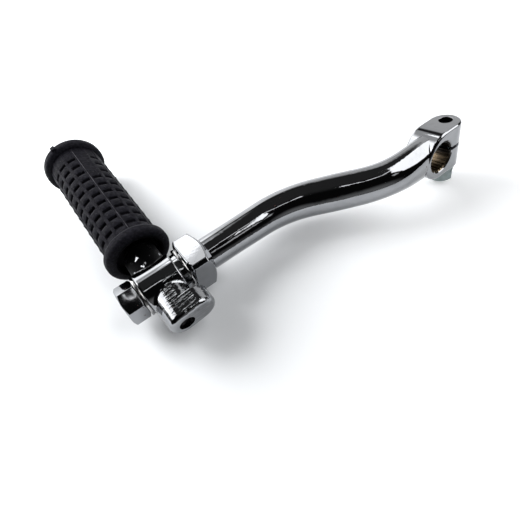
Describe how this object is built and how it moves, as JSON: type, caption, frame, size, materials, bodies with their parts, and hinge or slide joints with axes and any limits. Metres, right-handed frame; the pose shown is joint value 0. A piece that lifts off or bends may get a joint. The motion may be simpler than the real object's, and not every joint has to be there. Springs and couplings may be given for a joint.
{
  "type": "kick start lever",
  "caption": "Chromed S-bent kick start lever with a splined pinch clamp on the engine shaft and a folding rubber-covered foot pedal held by a ball detent.",
  "frame": {"origin": "middle of the splined bore, halfway through the boss's width", "axes": "X along the lever, with the arm running to -X; Y along the kick shaft, +Y away from the engine, the way the pedal points; Z along the pinch bolt, its head at -Z"},
  "size_m": [0.1979, 0.1481, 0.0717],
  "materials": {
    "arm_chrome": "bright chrome plate on forged steel",
    "knuckle_chrome": "bright chrome plate on forged steel",
    "nut_chrome": "bright chrome plate",
    "bolt_zinc": "zinc plate",
    "washer_zinc": "zinc plate",
    "washer_steel": "bright steel",
    "detent_steel": "polished steel",
    "screw_black": "black oxide",
    "pedal_rubber": "matte moulded rubber"
  },
  "bodies": {
    "arm": {"kick_arm": "arm_chrome", "pinch_bolt": "bolt_zinc", "pinch_plain_washer": "washer_zinc", "pinch_spring_washer": "washer_zinc", "thrust_washer": "washer_steel", "nut_washer": "washer_steel", "pivot_nut": "nut_chrome"},
    "pedal": {"pedal_knuckle": "knuckle_chrome", "pedal_rubber": "pedal_rubber", "detent_ball": "detent_steel", "detent_spring": "detent_steel", "detent_screw": "screw_black"}
  },
  "joints": [
    {"name": "pedal_fold", "type": "hinge", "parent": "arm", "child": "pedal", "pos_m": [-0.157, 0.031, 0], "axis": [1, 0, 0], "range_deg": [0, 90]}
  ]
}
